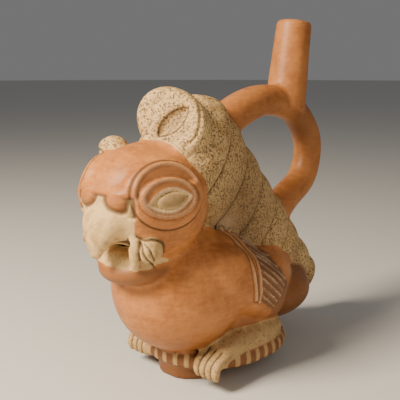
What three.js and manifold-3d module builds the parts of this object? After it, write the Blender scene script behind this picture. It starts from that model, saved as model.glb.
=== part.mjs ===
/**
 * A stirrup spout vessel of fired clay: a squatting bird that carries a spired sea shell.
 *
 * Millimetres, +Z up. The bird faces -Y and its left side is +X. The origin is the centre of
 * the flat underside of the foot, which the vessel stands on. The clay is one fired piece, and
 * it is hollow: the body, the shell, the stirrup and the spout share one open cavity.
 */
import * as THREE from 'three';
import { mergeVertices } from 'three/addons/utils/BufferGeometryUtils.js';
import Module from 'manifold-3d';

const wasm = await Module();
wasm.setup();

// ---------------------------------------------------------------- driving dimensions
// A station is [x, y, z, half-width, half-height] on the way from one end of a limb to the other.
// A bearing is in degrees from straight ahead towards the bird's left, a lift in degrees upwards.

const WALL = 5; // thickness of the clay round the body, shell and head
const WELD = 1e-4; // corners closer than this are one

const FOOT = { halfWidth: 20.5, front: -37, back: 46, height: 12 };
const PLATE = { halfWidth: 42, front: -41, back: 55, bottom: 9, thickness: 9.5, round: 3.5 };
const BREAST = { at: [0, -27, 58], radii: [41, 42, 41] };
const BACK = { at: [0, 20, 50], radii: [33, 54, 28] };
const TAIL = { at: [0, 61, 34], radii: [29, 35, 20] };
const HIP = { at: [18, 10, 36], radii: [18, 32, 14] };
// the wings are ellipsoids made fuller: an exponent of 2 is a true ellipsoid
const WING = { at: [22.5, -1, 59], radii: [22.5, 42, 19], turn: -0.49, fullness: 3 };
const MANTLE = { at: [17, 2, 70], radii: [20, 38, 15], turn: -0.49 }; // from the wing up to the shell
const FEATHERS = {
  // places on the wing are [along, up], as shares of its radii seen from the side
  front: [
    [0, -0.56],
    [-0.11, -0.17],
    [-0.3, 0.28],
    [-0.42, 0.62],
    [-0.36, 0.93],
  ],
  hem: [
    [0.42, -0.6],
    [0.58, -0.2],
    [0.66, 0.2],
    [0.62, 0.55],
    [0.3, 0.9],
  ],
  count: 8,
  // the way back from the front edge: [share of the way, height of ridges, of the valleys between]
  profile: [
    [0, -1.5, -1.5],
    [0.04, 1.3, 1.3],
    [0.09, 0.3, 0.3],
    [0.15, 1.4, 1.4],
    [0.21, 0.3, 0.3],
    [0.27, 1.6, 0.5],
    [0.62, 1.8, 0.5],
    [0.95, 1.6, 0.4],
    [1, -1.5, -1.5],
  ],
  depth: 5,
};

const HEAD = { at: [0, -53, 112], radii: [34.5, 35.5, 35] };
const EYE = {
  bearing: 68,
  lift: 15,
  raise: 2.6,
  facing: { bearing: 68, lift: 9 },
  // ovals from the root out to the ball: [half-width, half-height, height above the cheek]
  ovals: [
    [21, 19, -13],
    [23.5, 21, -9.5],
    [22.5, 20, -5.4],
    [20, 17, -4.4],
    [17.5, 13, -4.6],
    [15.5, 10.5, -1],
    [13.5, 8.5, -0.5],
    [12, 7, -1.6],
    [7, 3.8, 1],
  ],
  sides: 16,
};
const CERE = { at: [10.5, -77.5, 119], radii: [12, 11.5, 9] };
const BEAK = [
  [0, -66, 108, 20, 15],
  [0, -79, 107, 19, 13.5],
  [0, -85, 103.5, 15, 10],
  [0, -88, 97, 10.5, 6.5],
  [0, -88.5, 90, 5, 4],
  [0, -88.5, 86.5, 2.5, 2.5],
];
const JAW = { at: [0, -64, 78], radii: [22, 19, 9.5], turn: 0.2 };
const MOUTH = { at: [0, -81, 88], radii: [25, 14, 6.5] };
const LIP = { at: [24, -72, 92], radii: [5.5, 8, 8], turn: 0.3 };
const FANG = [
  [18, -78, 99, 3.5, 3.5],
  [18, -79, 92, 3.5, 3.5],
  [17, -79, 84, 2.5, 2.5],
];

const SHELL = {
  front: [0, -25, 134],
  apex: [0, 106, 33],
  halfHeight: [45, 15],
  breadth: 0.65,
  firstGroove: 0.055,
  whorl: 0.15,
  grooveDepth: 0.1,
  nose: 26,
};
const COIL = {
  at: [6, -36, 156],
  bearing: 30,
  lift: 14,
  roll: 0.75,
  // ovals from the back of the roll to its face: [half-width, half-height, height]
  ovals: [
    [18, 16, -12],
    [23, 19, -5],
    [23, 19, 5],
    [20.5, 16.5, 10.5],
    [17, 13.5, 10.5],
    [13, 10, 8],
  ],
  sides: 20,
  leaf: { halfWidth: 5.3, halfLength: 11, depth: 4, turn: -1.5 },
};
const KNOB = { at: [-27.5, -53, 141], radii: [9.5, 9, 7.5] };

const LEG = [
  [27, 26, 24, 8.5, 8.5],
  [30, 12, 24, 8, 8.5],
  [30, -9, 24, 8, 7],
  [29, -23, 21, 9, 6],
  [29, -30, 17, 9.5, 6],
];
const TOES = { x: 29, count: 4, spread: 4.7, radius: 3.1 };
const FEET_SHIFT = 3; // both feet stand this far towards the left of the middle

const STIRRUP = [
  [0, 2, 146, 12, 12],
  [0, 24, 159, 11.5, 11.5],
  [0, 56, 166, 10.5, 10.5],
  [0, 90, 157, 10, 10],
  [0, 108, 133, 10, 10],
  [0, 102, 109, 10, 10],
  [0, 80, 95, 10.5, 10.5],
  [0, 60, 82, 12, 12],
];
const SPOUT = {
  root: [0, 79, 158],
  lip: [0, 88, 218.5],
  rootRadius: 14,
  lipRadius: 12,
  bore: 8.5,
};

// ---------------------------------------------------------------- shaping tools

const vector = (point) => new THREE.Vector3(point[0], point[1], point[2]);

/** Turns a closed geometry into a solid that can be joined and cut. */
function solid(geometry) {
  const bare = geometry.clone();
  bare.deleteAttribute('normal');
  bare.deleteAttribute('uv');
  const welded = mergeVertices(bare, WELD);
  return new wasm.Manifold(
    new wasm.Mesh({
      numProp: 3,
      vertProperties: new Float32Array(welded.attributes.position.array),
      triVerts: new Uint32Array(welded.index.array),
    }),
  );
}

/** A left-hand form and its mirror image, as two solids. */
function pair(geometry) {
  const twin = geometry.clone().scale(-1, 1, 1);
  const corners = twin.index.array;
  for (let i = 0; i < corners.length; i += 3) {
    [corners[i], corners[i + 1]] = [corners[i + 1], corners[i]];
  }
  return [solid(geometry), solid(twin)];
}

/** An ellipsoid at a place, leaned about X, and shrunk on every side by an inset. */
function ellipsoid({ at, radii, turn = 0 }, { inset = 0, around = 16, along = 10 } = {}) {
  const geometry = new THREE.SphereGeometry(1, around, along);
  geometry.scale(...radii.map((radius) => radius - inset));
  return geometry.rotateX(turn).translate(...at);
}

/** Skins a closed form over rings of corners, each ring going round the same way. */
function skin(rings) {
  const sides = rings[0].length;
  const last = (rings.length - 1) * sides;
  const index = [];
  for (let k = 0; k < last; k += sides) {
    for (let i = 0; i < sides; i += 1) {
      const next = (i + 1) % sides;
      index.push(k + i, k + sides + i, k + next);
      index.push(k + next, k + sides + i, k + sides + next);
    }
  }
  for (let i = 1; i < sides - 1; i += 1) {
    index.push(0, i, i + 1);
    index.push(last, last + i + 1, last + i);
  }
  return new THREE.BufferGeometry().setFromPoints(rings.flat()).setIndex(index);
}

/** Ovals in flat layers, each [half-width, half-height, z], skinned from first to last. */
function stack(ovals, sides) {
  const rings = ovals.map(([halfWidth, halfHeight, z]) => {
    const ring = [];
    for (let i = 0; i < sides; i += 1) {
      const angle = (-2 * Math.PI * i) / sides;
      ring.push(new THREE.Vector3(halfWidth * Math.cos(angle), halfHeight * Math.sin(angle), z));
    }
    return ring;
  });
  return skin(rings);
}

/** A closed limb through its stations, with an oval section and domed ends. */
function limb(stations, { sides = 8, steps = 8, inset = 0 } = {}) {
  const line = new THREE.CatmullRomCurve3(stations.map(vector));
  const sizes = new THREE.CatmullRomCurve3(
    stations.map((station) => new THREE.Vector3(station[3], station[4], 0)),
  );
  const ring = (share, push, scale) => {
    const centre = line.getPoint(share);
    const ahead = line.getTangent(share);
    const size = sizes.getPoint(share);
    const side = new THREE.Vector3(1, 0, 0).projectOnPlane(ahead).normalize();
    const rise = side.clone().cross(ahead);
    centre.addScaledVector(ahead, push * size.y);
    const corners = [];
    for (let i = 0; i < sides; i += 1) {
      const angle = (2 * Math.PI * i) / sides;
      const across = Math.cos(angle) * scale * (size.x - inset);
      const above = Math.sin(angle) * scale * (size.y - inset);
      corners.push(centre.clone().addScaledVector(side, across).addScaledVector(rise, above));
    }
    return corners;
  };
  const rings = [ring(0, -0.5, 0.7)];
  for (let i = 0; i <= steps; i += 1) rings.push(ring(i / steps, 0, 1));
  rings.push(ring(1, 0.5, 0.7));
  return skin(rings);
}

/** The direction of a bearing and a lift. */
function outward(bearing, lift) {
  const turn = THREE.MathUtils.degToRad(bearing);
  const rise = THREE.MathUtils.degToRad(lift);
  return new THREE.Vector3(
    Math.sin(turn) * Math.cos(rise),
    -Math.cos(turn) * Math.cos(rise),
    Math.sin(rise),
  );
}

/** Turns a form built looking along +Z, upright along +Y, to look out along a bearing. */
function facing(geometry, { bearing, lift }, at) {
  const out = outward(bearing, lift);
  const side = new THREE.Vector3(0, 0, 1).cross(out).normalize();
  const turn = new THREE.Matrix4().makeBasis(side, out.clone().cross(side), out);
  return geometry.applyMatrix4(turn).translate(...at);
}

/** The point of the head at a bearing and lift, moved outwards by a raise. */
function onHead({ bearing, lift }, raise) {
  const out = outward(bearing, lift);
  const point = out.clone().multiply(vector(HEAD.radii)).add(vector(HEAD.at));
  return point.addScaledVector(out, raise);
}

/** The left wing as a full, rounded pad. */
function wingPad(around, along) {
  const geometry = new THREE.SphereGeometry(1, around, along);
  const corners = geometry.attributes.position;
  const corner = new THREE.Vector3();
  for (let i = 0; i < corners.count; i += 1) {
    corner.fromBufferAttribute(corners, i);
    const reach = corner.toArray().reduce((sum, part) => sum + Math.abs(part) ** WING.fullness, 0);
    corner.multiplyScalar(reach ** (-1 / WING.fullness)).multiply(vector(WING.radii));
    corners.setXYZ(i, ...corner);
  }
  return geometry.rotateX(WING.turn).translate(...WING.at);
}

/** The point of the left wing at a share of its length and height, seen from the side. */
function onWing(along, up, raise) {
  const { at, radii, turn, fullness } = WING;
  const outer = 1 - Math.abs(along) ** fullness - Math.abs(up) ** fullness;
  const place = [Math.max(outer, 0) ** (1 / fullness), along, up];
  const steepness = place.map((part) => Math.sign(part) * Math.abs(part) ** (fullness - 1));
  const normal = vector(steepness).divide(vector(radii)).normalize();
  const point = vector(place).multiply(vector(radii)).addScaledVector(normal, raise);
  return point.applyAxisAngle(new THREE.Vector3(1, 0, 0), turn).add(vector(at));
}

/** An oval outline with round ends, in the XY plane. */
function oval(halfWidth, front, back) {
  const outline = new THREE.Shape();
  outline.absarc(0, front + halfWidth, halfWidth, Math.PI, 2 * Math.PI);
  outline.absarc(0, back - halfWidth, halfWidth, 0, Math.PI);
  outline.closePath();
  return outline;
}

/** Places a lathe, whose axis is +Y, so that its axis runs from one point towards another. */
function between(geometry, from, to) {
  const axis = vector(to).sub(vector(from)).normalize();
  const turn = new THREE.Quaternion().setFromUnitVectors(new THREE.Vector3(0, 1, 0), axis);
  return geometry.applyQuaternion(turn).translate(...from);
}

// ---------------------------------------------------------------- the outside of the clay

function foot() {
  return new THREE.ExtrudeGeometry(oval(FOOT.halfWidth, FOOT.front, FOOT.back), {
    depth: FOOT.height,
    bevelEnabled: false,
    curveSegments: 10,
  });
}

function plate() {
  const { halfWidth, front, back, bottom, thickness, round } = PLATE;
  const outline = oval(halfWidth - round, front + round, back - round);
  return new THREE.ExtrudeGeometry(outline, {
    depth: thickness - 2 * round,
    bevelThickness: round,
    bevelSize: round,
    bevelSegments: 2,
    curveSegments: 12,
  }).translate(0, 0, bottom + round);
}

/** The spired shell: whorls that narrow towards the apex, flattened from side to side. */
function shell({ inset = 0, around = 18, perWhorl = 3 } = {}) {
  const { front, apex, halfHeight, breadth, firstGroove, whorl, grooveDepth, nose } = SHELL;
  const length = vector(apex).distanceTo(vector(front));
  const radiusAt = (share) => {
    const phase = (share - firstGroove) / whorl;
    const groove = 1 - Math.abs(Math.sin(Math.PI * phase)) ** 0.7;
    const cut = inset > 0 ? grooveDepth : grooveDepth * groove;
    return THREE.MathUtils.lerp(...halfHeight, share) * (1 - cut) - inset;
  };
  const profile = [new THREE.Vector2(0, inset - nose)];
  const start = radiusAt(0);
  profile.push(new THREE.Vector2(start * 0.55, (inset - nose) * 0.85));
  profile.push(new THREE.Vector2(start * 0.87, (inset - nose) * 0.5));
  const last = 1 - inset / length;
  const step = whorl / perWhorl;
  for (let share = 0; share <= last; share += step) {
    profile.push(new THREE.Vector2(radiusAt(share), share * length));
  }
  const tip = halfHeight[1] - inset;
  profile.push(new THREE.Vector2(tip * 0.6, last * length + tip * 0.35));
  profile.push(new THREE.Vector2(0, last * length + tip * 0.55));
  const geometry = between(new THREE.LatheGeometry(profile, around), front, apex);
  return geometry.scale(breadth, 1, 1);
}

/** The rolled end of the shell above the head, dished, with a leaf-shaped hollow. */
function coil() {
  const { at, ovals, sides, roll, leaf } = COIL;
  const hollow = new THREE.SphereGeometry(1, 10, 6);
  hollow.scale(leaf.halfWidth, leaf.halfLength, leaf.depth).rotateZ(leaf.turn);
  hollow.translate(0, 0, ovals.at(-1)[2]);
  const place = (geometry) => solid(facing(geometry.rotateZ(roll), COIL, at));
  return place(stack(ovals, sides)).subtract(place(hollow));
}

/** Both eyes: a mound on the cheek, a hollow band, a lid and a ball. */
function eyes() {
  const geometry = stack(EYE.ovals, EYE.sides);
  return pair(facing(geometry, EYE.facing, onHead(EYE, EYE.raise).toArray()));
}

function head() {
  const skull = solid(ellipsoid(HEAD, { around: 22, along: 13 }));
  const mouth = solid(ellipsoid(MOUTH, { around: 14, along: 6 }));
  const cere = pair(ellipsoid(CERE, { around: 10, along: 7 }));
  const lips = pair(ellipsoid(LIP, { around: 9, along: 6 }));
  const beak = solid(limb(BEAK, { sides: 12, steps: 8 }));
  const jaw = solid(ellipsoid(JAW, { around: 16, along: 8 }));
  const face = wasm.Manifold.union([skull, jaw]).subtract(mouth);
  const fangs = pair(limb(FANG, { sides: 6, steps: 3 }));
  return wasm.Manifold.union([face, ...eyes(), beak, ...cere, ...lips, ...fangs]);
}

/** Both wings, each with a double collar line and a fan of feathers behind it. */
function wings() {
  const { front, hem, count, profile, depth } = FEATHERS;
  const line = (places) => {
    return new THREE.SplineCurve(places.map((place) => new THREE.Vector2(...place)));
  };
  const columns = 2 * count + 1;
  const rows = profile.map(([share, ridge, valley]) => {
    const row = [];
    for (let i = 0; i < columns; i += 1) {
      const down = i / (columns - 1);
      const place = line(front).getPoint(down).lerp(line(hem).getPoint(down), share);
      const edge = i === 0 || i === columns - 1;
      const height = i % 2 === 1 ? ridge : valley;
      row.push({ place, height: edge ? profile[0][1] : height });
    }
    return row;
  });
  const rings = rows.map((row) => {
    const top = row.map(({ place, height }) => onWing(place.x, place.y, height));
    const root = row.map(({ place }) => onWing(place.x, place.y, -depth));
    return [...top, root.at(-1), root[0]];
  });
  const mantles = pair(ellipsoid(MANTLE, { around: 14, along: 8 }));
  return wasm.Manifold.union([...pair(wingPad(14, 10)), ...mantles, ...pair(skin(rings))]);
}

/** Both legs, folded along the plate, with toes that curl over its front edge. */
function feet() {
  const { x: middle, count, spread, radius } = TOES;
  const forms = pair(limb(LEG, { sides: 8, steps: 5 }));
  for (let i = 0; i < count; i += 1) {
    const x = middle + (i - (count - 1) / 2) * spread;
    const toe = [
      [x, -26, 20, radius, radius],
      [x, -34, 18.5, radius, radius],
      [x, -37, 14, radius, radius],
      [x, -36, 9.5, radius * 0.8, radius * 0.8],
    ];
    forms.push(...pair(limb(toe, { sides: 5, steps: 3 })));
  }
  return wasm.Manifold.union(forms).translate(FEET_SHIFT, 0, 0);
}

function spout(inset = 0, extend = 0) {
  const length = vector(SPOUT.lip).distanceTo(vector(SPOUT.root)) + extend;
  const profile = [
    new THREE.Vector2(0, 0),
    new THREE.Vector2(SPOUT.rootRadius - inset, 0),
    new THREE.Vector2(SPOUT.lipRadius - inset, length),
    new THREE.Vector2(0, length),
  ];
  return between(new THREE.LatheGeometry(profile, 20), SPOUT.root, SPOUT.lip);
}

function outside() {
  return wasm.Manifold.union([
    solid(foot()),
    solid(plate()),
    solid(ellipsoid(BREAST, { around: 24, along: 14 })),
    solid(ellipsoid(BACK, { around: 14, along: 9 })),
    solid(ellipsoid(TAIL, { around: 14, along: 9 })),
    ...pair(ellipsoid(HIP, { around: 12, along: 7 })),
    wings(),
    head(),
    solid(shell()),
    coil(),
    solid(ellipsoid(KNOB, { around: 10, along: 6 })),
    feet(),
    solid(limb(STIRRUP, { sides: 12, steps: 17 })),
    solid(spout()),
  ]);
}

// ---------------------------------------------------------------- the cavity

function inside() {
  const round = { inset: WALL, around: 10, along: 6 };
  return wasm.Manifold.union([
    solid(ellipsoid(BREAST, round)),
    solid(ellipsoid(BACK, round)),
    solid(ellipsoid(TAIL, round)),
    solid(ellipsoid(HEAD, round)),
    solid(shell({ inset: WALL, around: 10, perWhorl: 1 })),
    solid(limb(STIRRUP, { sides: 7, steps: 11, inset: 4 })),
    solid(spout(SPOUT.lipRadius - SPOUT.bore, 4)),
  ]);
}

// ---------------------------------------------------------------- the finished vessel

function geometryOf(clay) {
  const { vertProperties, triVerts } = clay.getMesh();
  const geometry = new THREE.BufferGeometry();
  geometry.setAttribute('position', new THREE.BufferAttribute(vertProperties, 3));
  geometry.setIndex(new THREE.BufferAttribute(triVerts, 1));
  geometry.computeVertexNormals();
  return geometry;
}

const clay = new THREE.MeshStandardMaterial({ color: 0xb5713c, roughness: 0.55, metalness: 0 });
const vessel = new THREE.Mesh(geometryOf(outside().subtract(inside())), clay);
vessel.name = 'vessel';

const model = new THREE.Group();
model.add(vessel);

export default model;
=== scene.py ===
"""Looks of a stirrup spout vessel: a squatting bird of fired clay that carries a spired shell.

Metres, +Z up, in the frame's own axes. The bird faces -Y and its left side is +X. Forms are
laid out in the potter's millimetres, which the frame's height turns into metres.
"""

import logging
import math
from collections.abc import Callable, Sequence
from dataclasses import dataclass, field, replace
from enum import Enum

import bmesh
import bpy
import numpy as np
from mathutils import Matrix, Vector, kdtree, noise


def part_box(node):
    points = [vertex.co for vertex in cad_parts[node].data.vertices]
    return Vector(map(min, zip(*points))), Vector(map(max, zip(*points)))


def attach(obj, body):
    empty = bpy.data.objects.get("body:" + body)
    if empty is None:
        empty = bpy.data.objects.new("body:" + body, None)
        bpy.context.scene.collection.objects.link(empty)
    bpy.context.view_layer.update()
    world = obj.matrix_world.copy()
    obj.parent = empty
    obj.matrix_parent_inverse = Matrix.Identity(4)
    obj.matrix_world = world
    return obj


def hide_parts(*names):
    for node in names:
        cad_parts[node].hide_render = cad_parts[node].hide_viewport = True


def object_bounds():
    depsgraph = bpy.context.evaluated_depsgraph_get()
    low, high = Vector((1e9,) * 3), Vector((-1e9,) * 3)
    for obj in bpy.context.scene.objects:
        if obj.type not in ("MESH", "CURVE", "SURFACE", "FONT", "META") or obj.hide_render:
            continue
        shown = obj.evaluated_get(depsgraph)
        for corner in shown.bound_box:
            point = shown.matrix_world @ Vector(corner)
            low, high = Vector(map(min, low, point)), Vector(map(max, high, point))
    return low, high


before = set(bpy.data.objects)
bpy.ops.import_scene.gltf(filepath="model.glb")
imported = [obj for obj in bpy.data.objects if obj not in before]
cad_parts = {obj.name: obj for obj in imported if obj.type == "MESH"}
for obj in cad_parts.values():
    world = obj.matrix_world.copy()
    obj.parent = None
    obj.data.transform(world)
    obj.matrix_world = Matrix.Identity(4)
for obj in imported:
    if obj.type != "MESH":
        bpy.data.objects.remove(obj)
CAD_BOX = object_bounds()

LOG = logging.getLogger("vessel")

NODE = "vessel"
FULL_HEIGHT = 220.3  # of the vessel, in the potter's millimetres
MM = (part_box(NODE)[1].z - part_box(NODE)[0].z) / FULL_HEIGHT
FAR = 1e3  # further than any place on the vessel
TOUCHING = 0.05  # millimetres within which two corners count as the same
SLIP_EDGE = 8.0  # millimetres over which the coat of cream runs from 0 to 1, half-way at its edge

Places = np.ndarray  # rows of x, y, z in millimetres
Values = np.ndarray  # one number a row
Point = Sequence[float]


# ---------------------------------------------------------------- shaping maths


def ease(low: float, high: float, value: Values) -> Values:
    """Smooth step from 0 at low to 1 at high.

    Args:
        low: Where the step starts.
        high: Where it ends; it may lie below low.
        value: Numbers to place on the step.

    Returns:
        A share from 0 to 1 for each number.
    """
    share = np.clip((value - low) / (high - low), 0.0, 1.0)
    return share * share * (3.0 - 2.0 * share)


def swell(value: Values, width: float) -> Values:
    """A soft hump of height 1 over a line, which fades at about the given width."""
    return np.exp(-((value / width) ** 2))


def patch(places: Places, at: Point, reach: float) -> Values:
    """A soft round patch of strength 1 at a point, which fades at about the given reach."""
    return swell(np.linalg.norm(places - at, axis=1), reach)


def mirrored(places: Places, middle: float = 0.0) -> Places:
    """The places folded over to the left of a middle, less the middle."""
    return np.column_stack((np.abs(places[:, 0] - middle), places[:, 1], places[:, 2]))


def outward(bearing: float, lift: float) -> np.ndarray:
    """The direction of a bearing from straight ahead towards the left, and a lift, in degrees."""
    turn, rise = math.radians(bearing), math.radians(lift)
    flat = math.cos(rise)
    return np.array((math.sin(turn) * flat, -math.cos(turn) * flat, math.sin(rise)))


def along_path(path: Sequence[Point], places: Places) -> tuple[Values, Values]:
    """How far each place is from a bent line, and where on the line it is.

    Args:
        path: Corners of the line, with as many numbers a corner as the places have.
        places: Places to measure from.

    Returns:
        The distance to the line, and the nearest point's share of the way along it.
    """
    corners = np.asarray(path, float)
    nearest = np.full(len(places), FAR)
    share = np.zeros(len(places))
    pieces = len(corners) - 1
    for index, (start, end) in enumerate(zip(corners, corners[1:])):
        way = end - start
        on = np.clip((places - start) @ way / (way @ way), 0.0, 1.0)
        gap = np.linalg.norm(places - start - on[:, None] * way, axis=1)
        closer = gap < nearest
        nearest = np.where(closer, gap, nearest)
        share = np.where(closer, (index + on) / pieces, share)
    return nearest, share


def flowing(stations: Sequence[Point], steps: int) -> np.ndarray:
    """Even steps along a smooth curve through stations of any number of measures.

    Args:
        stations: The points that the curve passes through.
        steps: How many steps to take from the first to the last.

    Returns:
        The points of the curve, one row each.
    """
    known = np.asarray(stations, float)
    known = np.vstack((2 * known[0] - known[1], known, 2 * known[-1] - known[-2]))
    made = []
    last = len(stations) - 1
    for step in range(steps + 1):
        whole, part = divmod(step * last / steps, 1.0)
        if whole == last:
            whole, part = last - 1, 1.0
        a, b, c, d = known[int(whole) : int(whole) + 4]
        first, middle, third = (
            max(np.linalg.norm(q[:3] - p[:3]), 1e-3) ** 0.5 for p, q in ((a, b), (b, c), (c, d))
        )
        leave = ((b - a) / first - (c - a) / (first + middle) + (c - b) / middle) * middle
        arrive = ((c - b) / middle - (d - b) / (middle + third) + (d - c) / third) * middle
        curve = b + leave * part + (3 * (c - b) - 2 * leave - arrive) * part**2
        made.append(curve + (2 * (b - c) + leave + arrive) * part**3)
    return np.array(made)


# ---------------------------------------------------------------- clay forms


class Form:
    """One closed lump of clay, in millimetres, that can be laid in a mesh and measured from."""

    def shape(self) -> bmesh.types.BMesh:
        """The form as a mesh of its own."""
        raise NotImplementedError

    def lay(self, clay: bmesh.types.BMesh) -> None:
        """Adds the form to a mesh."""
        join(clay, self.shape())

    def gap(self, places: Places) -> Values:
        """How far places are outside the form's surface, below zero inside it."""
        raise NotImplementedError


@dataclass(frozen=True)
class Ball(Form):
    """An ellipsoid that may lean about X and may be fuller than a true one."""

    at: Point
    radii: Point
    turn: float = 0.0
    fullness: float = 2.0
    detail: int = 5

    def shape(self) -> bmesh.types.BMesh:
        """The ellipsoid as a mesh of its own."""
        clay = bmesh.new()
        made = bmesh.ops.create_icosphere(clay, subdivisions=self.detail, radius=1.0)
        for vert in made["verts"]:
            reach = sum(abs(part) ** self.fullness for part in vert.co)
            vert.co *= reach ** (-1 / self.fullness)
        place = Matrix.Translation(self.at) @ Matrix.Rotation(self.turn, 4, "X")
        place = place @ Matrix.Diagonal((*self.radii, 1.0))
        bmesh.ops.transform(clay, matrix=place, verts=made["verts"])
        return clay

    def shares(self, places: Places) -> Places:
        """Places as shares of the radii, in the ellipsoid's own axes."""
        lean = np.array(Matrix.Rotation(self.turn, 3, "X"))
        return (places - self.at) @ lean / self.radii

    def gap(self, places: Places) -> Values:
        """How far places are outside the ellipsoid."""
        part = np.abs(self.shares(places))
        reach = np.maximum((part**self.fullness).sum(1), 1e-9) ** (1 / self.fullness)
        steep = part ** (self.fullness - 1) * reach[:, None] ** (1 - self.fullness) / self.radii
        return (reach - 1) / np.linalg.norm(steep, axis=1).clip(1e-3)


@dataclass(frozen=True)
class Limb(Form):
    """A bent limb with an oval section: stations of x, y, z, half-width and half-height."""

    stations: Sequence[Point]
    sides: int = 24
    steps: int = 24

    def shape(self) -> bmesh.types.BMesh:
        """The limb, with domed ends, as a mesh of its own."""
        clay = bmesh.new()
        line = flowing(self.stations, self.steps)
        ways = np.gradient(line[:, :3], axis=0)
        rings = []
        domes = [(0, -0.85, 0.35), (0, -0.55, 0.75), *((i, 0, 1) for i in range(len(line)))]
        domes += [(-1, 0.55, 0.75), (-1, 0.85, 0.35)]
        for index, push, scale in domes:
            ahead = Vector(ways[index]).normalized()
            side = (Vector((1, 0, 0)) - ahead * ahead.x).normalized()
            rise = side.cross(ahead)
            wide, high = line[index][3:5]
            place = Matrix((side * wide * scale, rise * high * scale, ahead)).transposed().to_4x4()
            place.translation = Vector(line[index][:3]) + ahead * push * high
            rings.append(ring(clay, place, self.sides))
        skin(clay, rings)
        return clay

    def gap(self, places: Places) -> Values:
        """How far places are outside the limb."""
        line = flowing(self.stations, self.steps)
        away, share = along_path(line[:, :3], places)
        girth = np.interp(share, np.linspace(0, 1, len(line)), line[:, 3:5].mean(1))
        return away - girth


@dataclass(frozen=True)
class Facing:
    """A flat place that looks out along a bearing and lift: across it, up it and out of it."""

    at: Point
    bearing: float
    lift: float
    roll: float = 0.0

    def axes(self) -> np.ndarray:
        """The directions across, up and out, one row each."""
        out = outward(self.bearing, self.lift)
        side = np.cross((0, 0, 1), out)
        side /= np.linalg.norm(side)
        rise = np.cross(out, side)
        turn = math.cos(self.roll), math.sin(self.roll)
        return np.array((side * turn[0] + rise * turn[1], rise * turn[0] - side * turn[1], out))

    def matrix(self) -> Matrix:
        """The frame of the place as a matrix."""
        place = Matrix(self.axes()).transposed().to_4x4()
        place.translation = Vector(self.at)
        return place

    def seen(self, places: Places) -> Places:
        """Places measured across, up and out."""
        return (places - self.at) @ self.axes().T


@dataclass(frozen=True)
class Mound(Form):
    """Ovals laid one over another: half-width, half-height and height above a facing place."""

    face: Facing
    ovals: Sequence[Point]
    sides: int = 48

    def shape(self) -> bmesh.types.BMesh:
        """The mound as a mesh of its own."""
        clay = bmesh.new()
        rings = []
        for wide, high, out in self.ovals:
            place = self.face.matrix() @ Matrix.Translation((0, 0, out))
            rings.append(ring(clay, place @ Matrix.Diagonal((wide, high, 1, 1)), self.sides))
        skin(clay, rings)
        return clay

    def gap(self, places: Places) -> Values:
        """How far places are outside the mound."""
        seen = self.face.seen(places)
        wide, high, out = np.array(self.ovals, float).T
        w = np.interp(seen[:, 2], out, wide)
        h = np.interp(seen[:, 2], out, high)
        reach = np.hypot(seen[:, 0] / w, seen[:, 1] / h)
        beyond = np.maximum(out[0] - seen[:, 2], seen[:, 2] - out[-1])
        return np.maximum((reach - 1) * np.minimum(w, h), beyond)


@dataclass(frozen=True)
class Slab(Form):
    """A flat slab with round ends and a rounded rim."""

    half_width: float
    front: float
    back: float
    bottom: float
    top: float
    round: float = 0.0
    sides: int = 96

    def shape(self) -> bmesh.types.BMesh:
        """The slab as a mesh of its own."""
        clay = bmesh.new()
        made = bmesh.ops.create_circle(
            clay, cap_ends=True, segments=self.sides, radius=self.half_width
        )
        for vert in made["verts"]:
            end = self.front + self.half_width if vert.co.y < 0 else self.back - self.half_width
            vert.co.y += end
            vert.co.z = self.bottom
        face = made["verts"][0].link_faces[0]
        raised = bmesh.ops.extrude_face_region(clay, geom=[face], use_keep_orig=True)["geom"]
        top = [item for item in raised if isinstance(item, bmesh.types.BMVert)]
        bmesh.ops.translate(clay, vec=(0, 0, self.top - self.bottom), verts=top)
        if not self.round:
            return clay
        rims = {edge for vert in [*made["verts"], *top] for edge in vert.link_edges}
        flat = [edge for edge in rims if abs(edge.verts[0].co.z - edge.verts[1].co.z) < 1e-6]
        bmesh.ops.bevel(
            clay,
            geom=flat,
            offset=self.round,
            offset_type="OFFSET",
            affect="EDGES",
            segments=6,
            profile=0.5,
            material=-1,
        )
        return clay

    def gap(self, places: Places) -> Values:
        """How far places are outside the slab."""
        middle = np.clip(
            places[:, 1], self.front + self.half_width, self.back - self.half_width
        )
        rim = np.hypot(places[:, 0], places[:, 1] - middle) - self.half_width
        level = np.abs(places[:, 2] - (self.top + self.bottom) / 2)
        rise = level - (self.top - self.bottom) / 2
        across, above = rim + self.round, rise + self.round
        corner = np.hypot(np.maximum(across, 0), np.maximum(above, 0))
        return corner + np.minimum(np.maximum(across, above), 0) - self.round


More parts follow.
